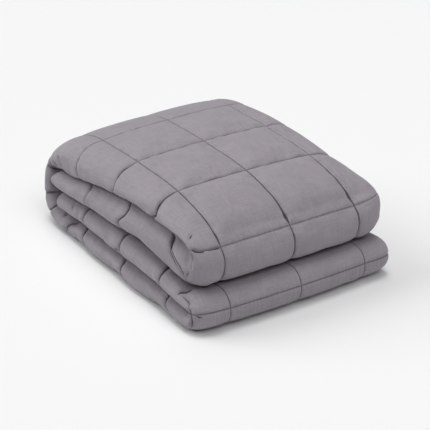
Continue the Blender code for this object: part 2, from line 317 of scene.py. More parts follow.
def inner_point(point, run):
    """The inner face's point across the layer from an outer one."""
    y, z = point
    if run in ("upper inner", "lower inner"):
        number, side = (3, -1.0) if run == "upper inner" else (1, 1.0)
        past = y - WRAP_INNER_Y
        if past <= 0:
            return np.array([y, float(level(number, y)) + side * HALF_GAP])
        room = WRAP_ROOM + HALF_GAP - LAYER_GAP
        nestle = max(room**POCKET_SQUARENESS - past**POCKET_SQUARENESS, 0.0) ** (1 / POCKET_SQUARENESS)
        hem = HEM_THICKNESS + abs(z - WRAP_MIDDLE[1])
        return np.array([y, WRAP_MIDDLE[1] - side * max(nestle, hem)])
    if run == "upper roll" and y <= UPPER_ROLL_Y:
        return fan(point, np.array([UPPER_ROLL_Y, float(level(3, UPPER_ROLL_Y))]), HALF_GAP)
    if run == "lower roll":
        return fan(point, np.array([LOWER_ROLL_Y, float(level(1, LOWER_ROLL_Y))]), HALF_GAP)
    if y > WRAP_INNER_Y:
        return fan(point, WRAP_MIDDLE, WRAP_ROOM + HALF_GAP, POCKET_SQUARENESS)
    if z < WRAP_Z:
        return np.array([y, float(level(1, y)) - HALF_GAP])
    return np.array([y, float(level(3, y)) + HALF_GAP])


runs = outer_runs()
outer_path = np.concatenate(list(runs.values()))
inner_path = np.array([inner_point(p, name) for name in runs for p in runs[name]])
path_at = np.append(0.0, np.cumsum(np.linalg.norm(np.diff(outer_path, axis=0), axis=1)))
seam_at = np.cumsum(SEAMS[:, 1])
seam_at = seam_at * path_at[-1] / seam_at[-1]
print("strip length, hem to hem, mm:", round(1000 * path_at[-1]))

# %% [markdown]
# ## Folding a point
#
# Every point of the strip has two numbers. `along` counts quilt squares from the first hem to the
# last. `around` counts them round the strip: 0 is the middle line of the outer face, 1 its outermost
# seam, 1.5 the widest point of the rolled side, and 2 to 3 the inner face, which the layers hide.

# %% Lean the seams
# Seam, and how many hundredths of a square further along it lies on the rolled side than on the face:
# near the outer face, at the widest point and near the inner face, on the left and on the right
LEANS_PERCENT = (
    (0, 0, 0, 0, 0, 0, 0),
    (1, 0, 7, 13, 0, 2, -2),
    (2, 0, -4, 14, 0, 3, 6),
    (3, 50, 38, 10, 10, 8, 0),
    (4, 1, 2, 0, 0, 0, 0),
    (5, -4, -11, -3, 0, 4, 2),
    (6, -5, -10, -5, 0, -5, -3),
    (7, 2, -1, -4, 0, -2, 5),
    (8, 0, -3, -3, 0, 0, 2),
    (9, 0, 8, 8, 0, -3, -4),
    (10, 3, 15, 9, 0, 6, 4),
    (11, 2, 11, 8, 0, -5, -2),
    (12, 3, 17, 10, 0, 7, 4),
    (13, 1, 3, 0, 0, 0, 0),
    (14, 10, 3, 0, 5, 3, 0),
    (15, 7, 2, 0, 4, -3, 0),
    (16, 10, 4, 0, -3, 2, 0),
    (17, 0, 0, 0, 0, 0, 0),
)
LEANS = np.array([row[1:] for row in LEANS_PERCENT]) / 100
# where round the strip each of the three comes in, and where the last is gone again
LEAN_PLACES = ((0.98, 1.15), (1.15, 1.45), (1.43, 1.68), (1.85, 2.0))


def lean(along, around):
    """How far the cloth of a rolled side has slipped along the strip, in squares."""
    seams = np.arange(len(SEAMS))
    near_face, at_widest, near_inner, gone = (smooth_ramp(np.abs(around), *p) for p in LEAN_PLACES)
    slips = []
    for first in (0, 3):
        out, wide, back = (np.interp(along, seams, LEANS[:, first + n]) for n in range(3))
        slip = out * near_face + (wide - out) * at_widest
        slips.append(slip + ((back - wide) * near_inner - back * gone))
    return np.where(around < 0, slips[0], slips[1])


print("most lean, mm:", round(1000 * SQUARE * LEANS.max()))

# %% Carry a point of the strip to its folded place
def fold(along, around):
    """The folded places of an array of points, before any seam draws them in."""
    along = along + lean(along, around)
    at = np.interp(along, np.arange(len(SEAMS)), seam_at)
    far = np.column_stack([np.interp(at, path_at, outer_path[:, k]) for k in (0, 1)])
    near = np.column_stack([np.interp(at, path_at, inner_path[:, k]) for k in (0, 1)])
    shape = [smooth_through(SEAMS, n, along) for n in range(2, 9)]
    roll_in = shape[4]
    near_hem = 1 - ramp(np.minimum(along, SQUARES - along), 0.0, HEM_REACH)
    sign = np.where(around < 0, -1.0, 1.0)
    reach = np.where(around < 0, -shape[0], shape[1]) - HEM_TUCK * (1 - np.sqrt(1 - near_hem**2))
    roll_out = np.where(around < 0, shape[2], shape[3])
    widest = np.where(around < 0, shape[5], shape[6])
    q = np.abs(around)
    flat = reach - roll_out
    seam_x = np.minimum(SQUARE, reach - LEAST_SIDE * roll_out)
    face_x = q * seam_x
    face_drop = 1 - np.sqrt(1 - np.clip((face_x - flat) / roll_out, 0.0, 1.0) ** 2)
    # beyond the outermost seam the cloth runs level to the roll, then round it to the widest point
    first = np.arcsin(np.clip((seam_x - flat) / roll_out, 0.0, 1.0))
    level_part = np.maximum(flat - seam_x, 0.0)
    height = (1 - widest) * np.linalg.norm(far - near, axis=1)
    arc = (math.pi / 2 - first) * np.sqrt((roll_out**2 + height**2) / 2)
    gone = np.clip((q - 1.0) / 0.5, 0.0, 1.0) * (level_part + arc)
    turn = first + (math.pi / 2 - first) * np.maximum(gone - level_part, 0.0) / arc
    side_x = np.where(gone < level_part, seam_x + gone, flat + roll_out * np.sin(turn))
    side_drop = 1 - np.cos(turn)
    under = math.pi / 2 * np.clip((q - 1.5) / 0.5, 0.0, 1.0)
    under_x = reach - roll_in * (1 - np.cos(under))
    inner_x = (reach - roll_in) * np.clip(3.0 - q, 0.0, 1.0)
    on_face, on_roll = (1 - (1 - widest) * drop for drop in (face_drop, side_drop))
    below = widest * (1 - np.sin(under))
    zone = [q <= 1.0, q <= 1.5, q <= 2.0]
    x = np.select(zone, [face_x, side_x, under_x], inner_x)
    share = np.select(zone, [on_face, on_roll, below], 0.0)
    y, z = (near + (far - near) * share[:, None]).T
    return settle(np.column_stack([sign * x, y, z]))


def height_scale(x, y):
    """How much of its height the pile keeps: most along its middle line and at the back right."""
    back = smooth_ramp(y, 0.0, CROWN_FULL_Y)
    full = CROWN_AT_FRONT + (1 - CROWN_AT_FRONT) * back
    drop = CROWN_DROP * full * np.abs(x / SQUARE) ** CROWN_POWER
    return 1 - drop + BACK_TILT * ramp(y, *TILT_Y) * x / SQUARE


def settle(points):
    """Crowns the pile, bows the lower roll forward, and moves the pile to the row's origin."""
    x, y, z = points.T
    bow = FRONT_BOW * ((x - FRONT_BOW_X[0]) / (FRONT_BOW_X[1] - FRONT_BOW_X[0])) ** 2
    settled_y = y + bow * ramp(y, *FRONT_BOW_Y) * ramp(z, *FRONT_BOW_Z)
    return np.column_stack([x - PILE_CENTRE[0], settled_y - PILE_CENTRE[1], z * height_scale(x, y)])


print("middle of the top:", fold(np.array([6.0]), np.array([0.0])).round(3))

# %% [markdown]
# ## The flat strip
#
# A grid primitive is a good start for cloth: it has no poles, and its edges can run along the
# seams. Its rows and columns are slid closer together beside each seam, where the cloth bends most,
# and stay wider apart in the middle of a square. The strip is then folded by moving its points.

# %% Cut the strip
HALF_SQUARE_CUTS = np.array((0, 1.6, 4.2, 8.5, 14.5, 22, 31, 41, 51.5)) / 1000  # from a seam
SIDE_CUTS = (0, 0.024, 0.06, 0.12, 0.205, 0.31, 0.42, 0.52, 0.61, 0.69, 0.765, 0.84, 0.92)
UNDER_CUTS = (0, 0.2, 0.4, 0.62, 0.82)
INNER_CUTS = (0, 0.3, 0.65)
half_cuts = [cut / SQUARE for cut in HALF_SQUARE_CUTS]
square_cuts = half_cuts + [0.5] + [1 - cut for cut in reversed(half_cuts[1:])]
alongs = np.array([n + cut for n in range(SQUARES) for cut in square_cuts] + [SQUARES], float)
right_cuts = square_cuts + [1 + 0.5 * cut for cut in SIDE_CUTS]
right_cuts += [1.5 + 0.5 * cut for cut in UNDER_CUTS]
right_cuts += [2 + cut for cut in INNER_CUTS] + [3.0]
arounds = np.array([-q for q in reversed(right_cuts[1:])] + right_cuts)

bpy.ops.mesh.primitive_grid_add(
    x_subdivisions=len(arounds) - 1, y_subdivisions=len(alongs) - 1, size=1.0, location=(0, 0, 0)
)
blanket = bpy.context.object
blanket.name = "blanket"
blanket.data.name = "blanket"
flat_x, flat_y, _ = read_points(blanket).T
column = np.rint((flat_x + 0.5) * (len(arounds) - 1)).astype(int)
row = np.rint((flat_y + 0.5) * (len(alongs) - 1)).astype(int)
along, around = alongs[row], arounds[column]
write_number(blanket, "along", along)
write_number(blanket, "around", around)
print("strip:", len(alongs), "rows,", len(arounds), "columns")

# %% [markdown]
# The cloth's weave must follow the cloth, not the air around it, so the strip gets its own flat map
# before it is folded: one unit of the map is one metre of cloth.

# %% Lay out the flat map
SIDE_GIRTH = 0.072  # from the outermost seam round to the widest point
UNDER_GIRTH = 0.034  # and on to the inner face
INNER_GIRTH = 0.155  # and on to the inner face's middle line


def girth(around):
    """How far round the strip a point lies from the outer face's middle line, in metres."""
    q = np.abs(around)
    reached = np.interp(
        q,
        [0.0, 1.0, 1.5, 2.0, 3.0],
        np.cumsum([0.0, SQUARE, SIDE_GIRTH, UNDER_GIRTH, INNER_GIRTH]),
    )
    return np.where(np.asarray(around) < 0, -reached, reached)


corner = np.zeros(len(blanket.data.loops), int)
blanket.data.loops.foreach_get("vertex_index", corner)
flat_map = np.column_stack([girth(around)[corner], (along * SQUARE)[corner]])
blanket.data.uv_layers[0].name = "cloth"
blanket.data.uv_layers["cloth"].data.foreach_set("uv", flat_map.ravel())
print("map, metres:", flat_map.min(axis=0).round(2), "to", flat_map.max(axis=0).round(2))

# %% [markdown]
# ## Folding, and drawing in the seams
#
# Each seam holds the two faces of the quilt together, so the cloth dips there and rises again in a
# round shoulder. Where layers press on each other the dip is small, and on the loose rolled sides
# it is deep.

# %% Fold the strip
# Seam, in millimetres how deep the stitching draws it in on the faces and on the rolled sides and how
# far to either side the cloth takes to rise again, how much the swelling squares carry it along on
# the faces and on the sides, and how dark its line is on the faces and on the sides: partly the
# stitching's own dark, partly painted shade
DRAWN = (
    (0, 1.6, 1, 10, 0, 0.5, 0.5, 0.5),
    (1, 1.6, 1.2, 9, 0, 0.7, 0.5, 0.25),
    (2, 1.6, 2.4, 9, 0, 0.6, 0.5, 0.8),
    (3, 1.6, 2.8, 9, 0, 0.6, 0.5, 0.9),
    (4, 7.5, 1.2, 28, 0, 0.8, 0.32, 0.2),
    (5, 3.2, 2.2, 14, 0, 0.6, 0.45, 0.9),
    (6, 3, 1.8, 14, 0, 0.7, 0.45, 0.5),
    (7, 0.9, 1, 10, 0.6, 0.8, 0.45, 0.3),
    (8, 3, 3, 15, 0.2, 0.5, 0.5, 0.7),
    (9, 3.4, 1.4, 10, 0, 0.8, 0.5, 0.8),
    (10, 1.6, 3, 11, 0, 0.4, 0.5, 0.8),
    (11, 1.6, 3, 11, 0, 0.4, 0.5, 0.8),
    (12, 1.8, 3.2, 11, 0, 0.4, 0.5, 0.8),
    (13, 2.6, 0.9, 15, 0.3, 0.8, 0.45, 0.6),
    (14, 1.6, 3.2, 11, 0, 0.4, 0.5, 0.8),
    (15, 1.6, 3, 11, 0, 0.5, 0.5, 0.8),
    (16, 1.6, 2.4, 11, 0, 0.6, 0.5, 0.6),
    (17, 1.6, 1, 10, 0, 0.5, 0.5, 0.5),
)
LONG_DRAWN = 0.0034  # how deep the seams that run along the strip are drawn in
LONG_REACH = 0.020
AT_BACK = (6.6, 7.0)  # squares along, where the top turns down to the wrap
LESS_AT_BACK = 0.7  # share of their depth that the long seams lose there
MOST_DRAWN = 0.20  # of the layer's thickness
HIDDEN_DRAWN = 0.0016
HIDDEN_FROM = 1.9  # from here round the strip, the cloth lies between layers
SIDE_BEGINS = (1.0, 1.16)
SIDE_ENDS = (1.75, 2.0)
SHOWN = ((3.45, 9.45), (12.55, 13.50))  # runs of squares whose outer face shows
SHOWN_BLEND = 0.12


def shows(along):
    """1 where the outer face is in the open, 0 where a layer or the floor covers it."""
    shown = 0.0
    for start, end in SHOWN:
        begun = smooth_ramp(along, start - SHOWN_BLEND, start)
        shown = shown + begun * (1 - smooth_ramp(along, end, end + SHOWN_BLEND))
    return shown


def on_side(around):
    """1 on the rolled sides of the strip, 0 on its faces."""
    q = np.abs(around)
    return smooth_ramp(q, *SIDE_BEGINS) * (1 - smooth_ramp(q, *SIDE_ENDS))


def to_cross_seam(along):
    return np.abs(along - np.round(along)) * SQUARE


def to_long_seam(around):
    """Distance to the nearest seam that runs along the strip. The rolled sides have none."""
    q = np.abs(around)
    return np.where(q <= 1.0, np.abs(q - np.round(q)) * SQUARE, (q - 1.0) * 2 * SIDE_GIRTH)


def shoulder(distance, reach):
    """0 on a seam, 1 where the cloth is back at full height."""
    t = ramp(distance, 0.0, reach)
    return (1 - (1 - t) ** 2) ** 0.7


def layer_thickness(along):
    at = np.interp(along, np.arange(len(SEAMS)), seam_at)
    ends = [np.interp(at, path_at, p[:, k]) for p in (outer_path, inner_path) for k in (0, 1)]
    return np.hypot(ends[0] - ends[2], ends[1] - ends[3])


def of_seam(number, along):
    """A number of the table's for the seam nearest to each point."""
    return np.array([row[number] for row in DRAWN])[np.rint(along).astype(int)]


def seam_dip(along, around):
    """How far each point lies below its square's own surface."""
    face, side, reach = (of_seam(n, along) * 0.001 for n in (1, 2, 3))
    most = MOST_DRAWN * layer_thickness(along)
    hidden = np.abs(around) > HIDDEN_FROM
    face = np.minimum(np.where(hidden, HIDDEN_DRAWN, face), most)
    cross = face + (np.minimum(side, most) - face) * on_side(around)
    cross_rise = shoulder(to_cross_seam(along), reach)
    long_depth = LONG_DRAWN * (1 - LESS_AT_BACK * smooth_ramp(along, *AT_BACK))
    long_depth = np.minimum(long_depth, most)
    long_rise = np.where(hidden, 1.0, shoulder(to_long_seam(around), LONG_REACH))
    return cross * (1 - cross_rise) + long_depth * cross_rise * (1 - long_rise)


folded = fold(along, around)
write_points(blanket, folded)
folded = folded - read_normals(blanket) * seam_dip(along, around)[:, None]
folded[:, 2] = np.maximum(folded[:, 2], 0.0)
# the slit's two edges must lie together exactly, or they can't be joined later
first, last = (np.flatnonzero(column == n) for n in (0, len(arounds) - 1))
first, last = first[np.argsort(row[first])], last[np.argsort(row[last])]
folded[first] = folded[last] = (folded[first] + folded[last]) / 2
write_points(blanket, folded)
print("folded, mm:", (1000 * (folded.max(axis=0) - folded.min(axis=0))).round())

# %% [markdown]
# ## Filling the squares
#
# The bulge of a filled square is hard to sculpt by hand, so we let Blender's cloth simulation find
# it: air pressure pushes the cloth out while the seams and every hidden face are held still. The
# cloth is also let grow by one part in a hundred, which gives it the slack that gathers at seams.

# %% Hold the seams and all that is hidden
ON_SEAM = 0.0004  # a point closer to a seam than this lies on it
q = np.abs(around)
on_cross = to_cross_seam(along) < ON_SEAM
on_long = (q <= 1.0) & (to_long_seam(around) < ON_SEAM)
covered = (q > HIDDEN_FROM) | ((q < 1.0) & (shows(along) < 0.5))
held = on_cross | on_long | covered
group = blanket.vertex_groups.new(name="held")
group.add([int(i) for i in np.flatnonzero(held)], 1.0, "REPLACE")
print("points left free:", int((~held).sum()), "of", len(held))

# %% Blow the squares up
FRAMES = 20
MOST_SWELL = 0.005
LONG_CARRIED = 0.7  # how much the squares carry the long seams along, at the back
# squares along, where the upper inner layer, top, wrap, bottom and lower roll end
LAYER_ENDS = (3.45, 7.6, 9.6, 12.6, 13.5)
NO_LIMIT = 1.0  # a height far above the pile


def simulate(piece):
    only(piece)
    filling = piece.modifiers.new("filling", "CLOTH")
    cloth = filling.settings
    cloth.quality = 6
    cloth.mass = 0.15
    cloth.tension_stiffness = 12
    cloth.compression_stiffness = 12
    cloth.shear_stiffness = 4
    cloth.bending_stiffness = 0.4
    cloth.shrink_min = -0.012
    cloth.use_pressure = True
    cloth.uniform_pressure_force = 3.0
    cloth.effector_weights.gravity = 0
    cloth.vertex_group_mass = "held"
    filling.point_cache.frame_end = FRAMES
    for frame_number in range(1, FRAMES + 1):
        bpy.context.scene.frame_set(frame_number)
    bpy.ops.object.modifier_apply(modifier=filling.name)
    bpy.context.scene.frame_set(1)


def layer_limits(points, along):
    """The lowest and highest that each point may lie, so that no layer enters the next."""
    x, y = points[:, 0] + PILE_CENTRE[0], points[:, 1] + PILE_CENTRE[1]
    scale = height_scale(x, y)
    low_face, mid_face, high_face = (level(n, y) * scale for n in (1, 2, 3))
    under_roll = np.where(y < UPPER_ROLL_Y, mid_face, high_face)
    deep = y > WRAP_INNER_Y
    layer = [along <= end for end in LAYER_ENDS]
    low = np.select(layer, [mid_face, under_roll, 0.0, 0.0, 0.0], low_face)
    crest = LOWER_ROLL_CREST * (1 - smooth_ramp(y, 0.0, UPPER_ROLL_Y))
    high = np.select(layer, [high_face, NO_LIMIT, NO_LIMIT, low_face, mid_face], mid_face) + crest
    low, high = np.where(deep, 0.0, low), np.where(deep, NO_LIMIT, high)
    low = np.where(low > 0, low + HALF_GAP, 0.0)
    return low, np.where(high < NO_LIMIT, high - HALF_GAP, high)


def keep_apart(points, before, along):
    """Takes back what a step has pushed past a point's limits, but moves nothing it left alone."""
    low, high = layer_limits(before, along)
    low, high = np.minimum(low, before[:, 2]), np.maximum(high, before[:, 2])
    points[:, 2] = np.clip(points[:, 2], low, high)
    return points


def carry(lines, seam, share):
    """Moves the grid's lines near one seam along with the squares beside it."""
    reach = len(HALF_SQUARE_CUTS) - 3
    full = (lines[seam - reach] + lines[seam + reach]) / 2
    for n in range(-reach + 1, reach):
        near = 1 - HALF_SQUARE_CUTS[abs(n)] / HALF_SQUARE_CUTS[reach]
        lines[seam + n] += share[:, None] * near * (full - lines[seam + n])


def carry_seams(moved):
    """Lets the squares beside a seam carry it along with them, by the table's share."""
    grid = np.zeros((len(alongs), len(arounds), 3))
    grid[row, column] = moved
    step = len(square_cuts)
    side = on_side(arounds)
    for seam, _, _, _, on_faces, on_sides, _, _ in DRAWN[1:-1]:
        carry(grid, seam * step, on_faces + (on_sides - on_faces) * side)
    # the long seams go along only at the back, where the cloth turns down
    for seam in LONG_SEAMS:
        middle = len(arounds) // 2 + seam * step
        carry(grid.swapaxes(0, 1), middle, LONG_CARRIED * smooth_ramp(alongs, *AT_BACK))
    return grid[row, column]


simulate(blanket)
moved = carry_seams(read_points(blanket) - folded)
far = np.linalg.norm(moved, axis=1)
middle, most = float(np.median(far[~held])), float(far.max())
print("swelling, mm: middle", round(1000 * middle, 1), "most", round(1000 * most, 1))
moved *= (np.minimum(far, MOST_SWELL) / np.maximum(far, 1e-9))[:, None]
write_points(blanket, keep_apart(folded + moved, folded, along))

# %% [markdown]
# Air alone leaves the cloth a little faceted. One subdivision rounds it, and only then is it fine
# enough to carry the narrow line of a seam. The slit in the hidden face is closed here as well.

# %% Subdivide and close the strip
only(blanket)
subdivision = blanket.modifiers.new("smooth", "SUBSURF")
subdivision.levels = subdivision.render_levels = 1
subdivision.uv_smooth = "NONE"
bpy.ops.object.modifier_apply(modifier=subdivision.name)
bpy.ops.object.mode_set(mode="EDIT")
bpy.ops.mesh.select_all(action="SELECT")
bpy.ops.mesh.remove_doubles(threshold=1e-5)
bpy.ops.mesh.fill_holes(sides=0)
bpy.ops.mesh.normals_make_consistent(inside=False)
bpy.ops.object.mode_set(mode="OBJECT")
bpy.ops.object.shade_smooth()
print("blanket:", len(blanket.data.polygons), "faces")

# %% [markdown]
# ## Seams and creases
#
# Stitching pulls the two faces together along a line, and the cloth falls away to it sharply over
# the last few millimetres. Besides the seams, the folded pile has creases of its own, where a roll
# is tucked in at a corner or the back wrap buckles. They are too chancy to simulate, so each is
# placed from the photograph.

# %% Seam lines
LINE_DEPTH = 0.0019
LINE_WIDTH = 0.0014
PALE_LINE = 0.4  # share of its depth that the palest line has
# squares along, and how dark the long seams' lines are there: partly the stitching's own dark,
# partly painted shade
LONG_DARKNESS = ((3.4, 0.9), (4.6, 0.95), (5.2, 0.75), (6.5, 0.5), (9, 0.5), (13, 0.75))


def line_depth(distance, darkness):
    """How deep a seam's line is at a distance. A dark one is deeper."""
    return (PALE_LINE + (1 - PALE_LINE) * darkness) * np.exp(-distance / LINE_WIDTH)


along, around = read_number(blanket, "along"), read_number(blanket, "around")
cross_dark = of_seam(6, along) + (of_seam(7, along) - of_seam(6, along)) * on_side(around)
long_dark = np.interp(along, *zip(*LONG_DARKNESS))
cross_line = line_depth(to_cross_seam(along), cross_dark)
long_line = line_depth(to_long_seam(around), long_dark)
sunk = LINE_DEPTH * np.maximum(cross_line, np.where(np.abs(around) < 1.5, long_line, 0.0))
# how dark each seam's line is drawn: partly the stitching's own dark, partly painted shade
write_number(blanket, "cross_dark", cross_dark)
write_number(blanket, "long_dark", long_dark)
print("seam lines, mm deep:", round(1000 * float(sunk.max()), 1))

# %% Creases, one by one
# Points of each crease (along, around), its depth and half width in millimetres, how dark the
# painted shade in its soft hollow is, and the half width in millimetres of the black slit of painted
# shadow in it, if it has one. The wide ones are troughs, or bulges where the depth is negative, and
# the seams follow them.
WIDE = 6.0
CREASES = (
    # seams of the top layer, on its rolled left side
    (((7, -1.3), (7, -1.34), (7, -1.375)), 1.6, 3, 0.2, 1.2),
    (((6, -1.03), (6, -1.15), (6, -1.25), (6, -1.35)), 2.4, 3, 0.3, 1.6),
    (((5, -1.15), (5, -1.4), (5, -1.7), (5, -1.92)), 3.4, 3, 0.4, 1.6),
    # the top sinks just behind the front seam
    (((4.13, -1.1), (4.13, -0.5), (4.12, 0.2), (4.12, 0.8), (4.14, 1.4)), 5, 15, 0, 0),
    # right end of the upper roll: a flat shoulder, and a full corner under it
    (((4, 1.1), (4.32, 1.16), (4.75, 1.16)), 3.5, 24, 0, 0),
    (((3.35, 1.3), (3.55, 1.45)), -3.5, 32, 0, 0),
    # left end of the upper roll: the tuck on its seam, the corner below it and a dart above
    (((4.03, -1.39), (3.98, -1.324), (3.963, -1.242), (3.99, -1.209)), 3.5, 4.5, 0.5, 2.4),
    (((3.99, -1.209), (3.975, -1.15), (3.99, -1.08), (4, -1.01)), 2.2, 3, 0.35, 1.5),
    (((4, -1.4), (3.58, -1.48), (3.36, -1.45)), 3, 3.6, 0.3, 0),
    (((3.9, -1.6), (3.6, -1.62), (3.2, -1.58)), 5.5, 11, 0.1, 0),
    (((3.32, -1.464), (3.07, -1.402)), 2, 3, 0.3, 1.2),
    (((2.99, -1.452), (2.985, -1.41)), 1.6, 2.7, 0.3, 1.1),
    (((4.262, -1.258), (4.25, -1.276), (4.222, -1.322)), 2.6, 2.7, 0.4, 1.6),
    # upper inner layer
    (((3, -1.9), (3.01, -1.78), (2.99, -1.66)), 4, 3.3, 0.7, 2.5),
    (((2.99, -1.66), (2.95, -1.554), (2.926, -1.487), (2.97, -1.434)), 2.6, 3.3, 0.3, 1.1),
    (((1, -1.9), (1, -1.74)), 2.2, 3, 0.4, 1.6),
    # left end of the lower roll
    (((13.54, -1.42), (13.514, -1.368), (13.46, -1.326), (13.46, -1.25)), 3, 5, 0.7, 3.4),
    (((13.44, -1.385), (13.33, -1.391), (13.25, -1.391), (13.172, -1.427)), 3.5, 3.6, 0.5, 1.2),
    (((13.172, -1.427), (12.994, -1.455), (12.8, -1.42), (12.65, -1.388)), 3, 3.6, 0.6, 2),
    (((13.2, -1.58), (12.8, -1.6)), 4.5, 10, 0.1, 0),
    (((12.987, -1.372), (12.949, -1.345), (12.951, -1.315)), 2.4, 3, 0.4, 1.9),
    # back wrap, left side: the pinch on its seam and the fan of creases above it
    (((8.16, -1.4), (8.12, -1.507), (8.08, -1.76), (8.05, -1.93)), 7, 5.1, 1, 4),
    (((8.02, -1.6), (8, -1.94)), 3, 6, 0.9, 0),
    (((7.79, -1.484), (7.785, -1.685)), 2.2, 3, 0.5, 1.1),
    (((7.61, -1.402), (7.54, -1.467)), 2, 3, 0.4, 1),
    (((7.5, -1.48), (7.48, -1.606)), 2, 3, 0.5, 1),
    (((8.01, -1.45), (8.06, -1.7)), 2.2, 3, 0.5, 1),
    (((8.69, -1.4), (8.66, -1.62), (8.71, -1.93)), 4.5, 3.9, 0.9, 2.2),
    (((8.3, -1.74), (8.6, -1.86)), 2, 7, 0.7, 0),
    (((9.5, -1.4), (9.6, -1.6), (9.66, -1.75), (9.8, -1.93)), 2.5, 6, 0.8, 3),
    (((9.39, -1.76), (9.42, -1.9)), 2.4, 3.3, 0.5, 1.5),
    # lower inner layer, by its hem
    (((16.42, -1.36), (16.37, -1.47)), 2, 3.3, 0.3, 1.1),
    (((16.2, -1.56), (16.14, -1.4)), 2, 3.6, 0.2, 0),
    (((15.12, -1.61), (15.03, -1.6)), 2.5, 4.5, 0.8, 3),
)
print("creases placed by hand:", len(CREASES))

# %% Press the creases in
TAPER = 0.22  # share of its length over which a crease fades out at either end
LEFT_AT_END = 0.25  # share of its depth that is left there
TROUGH_SHAPE = 1.3  # 1 is as sharp as a seam, 2 as round as a dish


def to_crease(u, v, points):
    """Distance of cloth points to a bent line, and how far along it the nearest place is, 0 to 1."""
    corners = [(float(girth(s)), a * SQUARE) for a, s in points]
    lengths = [math.dist(a, b) for a, b in zip(corners, corners[1:])]
    nearest, share, done = np.full(len(u), 9.0), np.zeros(len(u)), 0.0
    for (a, b), length in zip(zip(corners, corners[1:]), lengths):
        t = ((u - a[0]) * (b[0] - a[0]) + (v - a[1]) * (b[1] - a[1])) / length**2
        t = np.clip(t, 0.0, 1.0)
        away = np.hypot(u - a[0] - t * (b[0] - a[0]), v - a[1] - t * (b[1] - a[1]))
        closer = away < nearest
        nearest = np.where(closer, away, nearest)
        share = np.where(closer, (done + t * length) / sum(lengths), share)
        done += length
    return nearest, share


u, v = girth(around), along * SQUARE
dark, hollow = np.zeros(len(u)), np.zeros(len(u))
for points, depth, half_width, darkness, _ in CREASES:
    away, share = to_crease(u, v, points)
    taper = smooth_ramp(share, 0.0, TAPER) * (1 - smooth_ramp(share, 1 - TAPER, 1.0))
    press = np.exp(-((away / (0.001 * half_width)) ** TROUGH_SHAPE))
    press *= LEFT_AT_END + (1 - LEFT_AT_END) * taper
    if half_width > WIDE:
        hollow += 0.001 * depth * press
    else:
        sunk = np.maximum(sunk, 0.001 * depth * press)
    # painted shade in the crease's soft hollow
    dark = np.maximum(dark, darkness * press)
before = read_points(blanket)
lowered = before - read_normals(blanket) * (sunk + hollow)[:, None]
lowered = keep_apart(lowered, before, along)
lowered[:, 2] = np.maximum(lowered[:, 2], 0.0)
write_points(blanket, lowered)
# the creases' painted shade, which darkens the cloth's colour
write_number(blanket, "crease", dark)
print("deepest crease, mm:", round(1000 * float(sunk.max()), 1))

# %% [markdown]
# ## Materials
#
# The cloth is a fine plain weave with a faint sheen. Its threads are far smaller than a pixel, so
# they go into the bump and not into the mesh. Shader maths is easier to read as sums than as a web
# of nodes, so one small class turns each sum into its Math node.

# %% A class for shader maths
class Shade:
    """A value or colour inside a material. Sums written with it add their own Math nodes."""

    def __init__(self, tree, node=None, output=0):
        self.tree, self.node, self.output = tree, node, output

    def add(self, kind, settings=None, sockets=None, output=0):
        """Adds a node: first its settings, then the values or links of its sockets."""
        node = self.tree.nodes.new(kind)
        for name, value in (settings or {}).items():
            setattr(node, name, value)
        for name, value in (sockets or {}).items():
            if isinstance(value, Shade):
                self.tree.links.new(value.node.outputs[value.output], node.inputs[name])
            else:
                node.inputs[name].default_value = value
        return Shade(self.tree, node, output)

    def part(self, output):
        return Shade(self.tree, self.node, output)

    def math(self, operation, *values):
        return self.add("ShaderNodeMath", {"operation": operation}, dict(enumerate(values)))

    def __add__(self, other):
        return self.math("ADD", self, other)

    def __sub__(self, other):
        return self.math("SUBTRACT", self, other)

    def __rsub__(self, other):
        return self.math("SUBTRACT", other, self)

    def __mul__(self, other):
        return self.math("MULTIPLY", self, other)

    def __abs__(self):
        return self.math("ABSOLUTE", self)

    def between(self, start, end):
        """0 at the start value, 1 at the end value, smooth between them."""
        sockets = {"Value": self, "From Min": start, "From Max": end}
        return self.add("ShaderNodeMapRange", {"interpolation_type": "SMOOTHSTEP"}, sockets)

    def blend(self, share, first, second):
        """Mixes two colours."""
        sockets = {0: share, 6: first, 7: second}
        return self.add("ShaderNodeMix", {"data_type": "RGBA"}, sockets, output=2)

    def noise(self, vector, scale, detail=2.0):
        sockets = {"Vector": vector, "Scale": scale, "Detail": detail}
        return self.add("ShaderNodeTexNoise", {}, sockets)

    def vector(self, operation, other):
        return self.add("ShaderNodeVectorMath", {"operation": operation}, {0: self, 1: other})

    def largest(self, *others):
        value = self
        for other in others:
            value = self.math("MAXIMUM", value, other)
        return value

    def link(self, shader, socket):
        self.tree.links.new(self.node.outputs[self.output], shader.inputs[socket])


def new_material(name, colour, roughness, sheen, shine):
    """A material with its shader, ready for sums. What never changes is set on the shader."""
    material = bpy.data.materials.new(name)
    material.use_nodes = True
    shader = material.node_tree.nodes["Principled BSDF"]
    shader.inputs["Base Color"].default_value = colour
    shader.inputs["Roughness"].default_value = roughness
    shader.inputs["Sheen Weight"].default_value = sheen
    shader.inputs["Sheen Roughness"].default_value = 0.45
    shader.inputs["Specular IOR Level"].default_value = shine
    return material, shader, Shade(material.node_tree)


print("shader class ready")

# %% [markdown]
# The pattern follows the cloth's own map, in which seams lie a square apart. So the shader can work
# out how far any point is from a seam, and darken the line itself, partly for the stitching's own
# dark and partly as painted shade, pucker the cloth beside it and keep the middle of a square
# plain. Creases bring their painted shade with them as an attribute.

# %% The quilted cloth
CLOTH = (0.240, 0.220, 0.244, 1.0)
CLOTH_PALE = (0.344, 0.314, 0.347, 1.0)
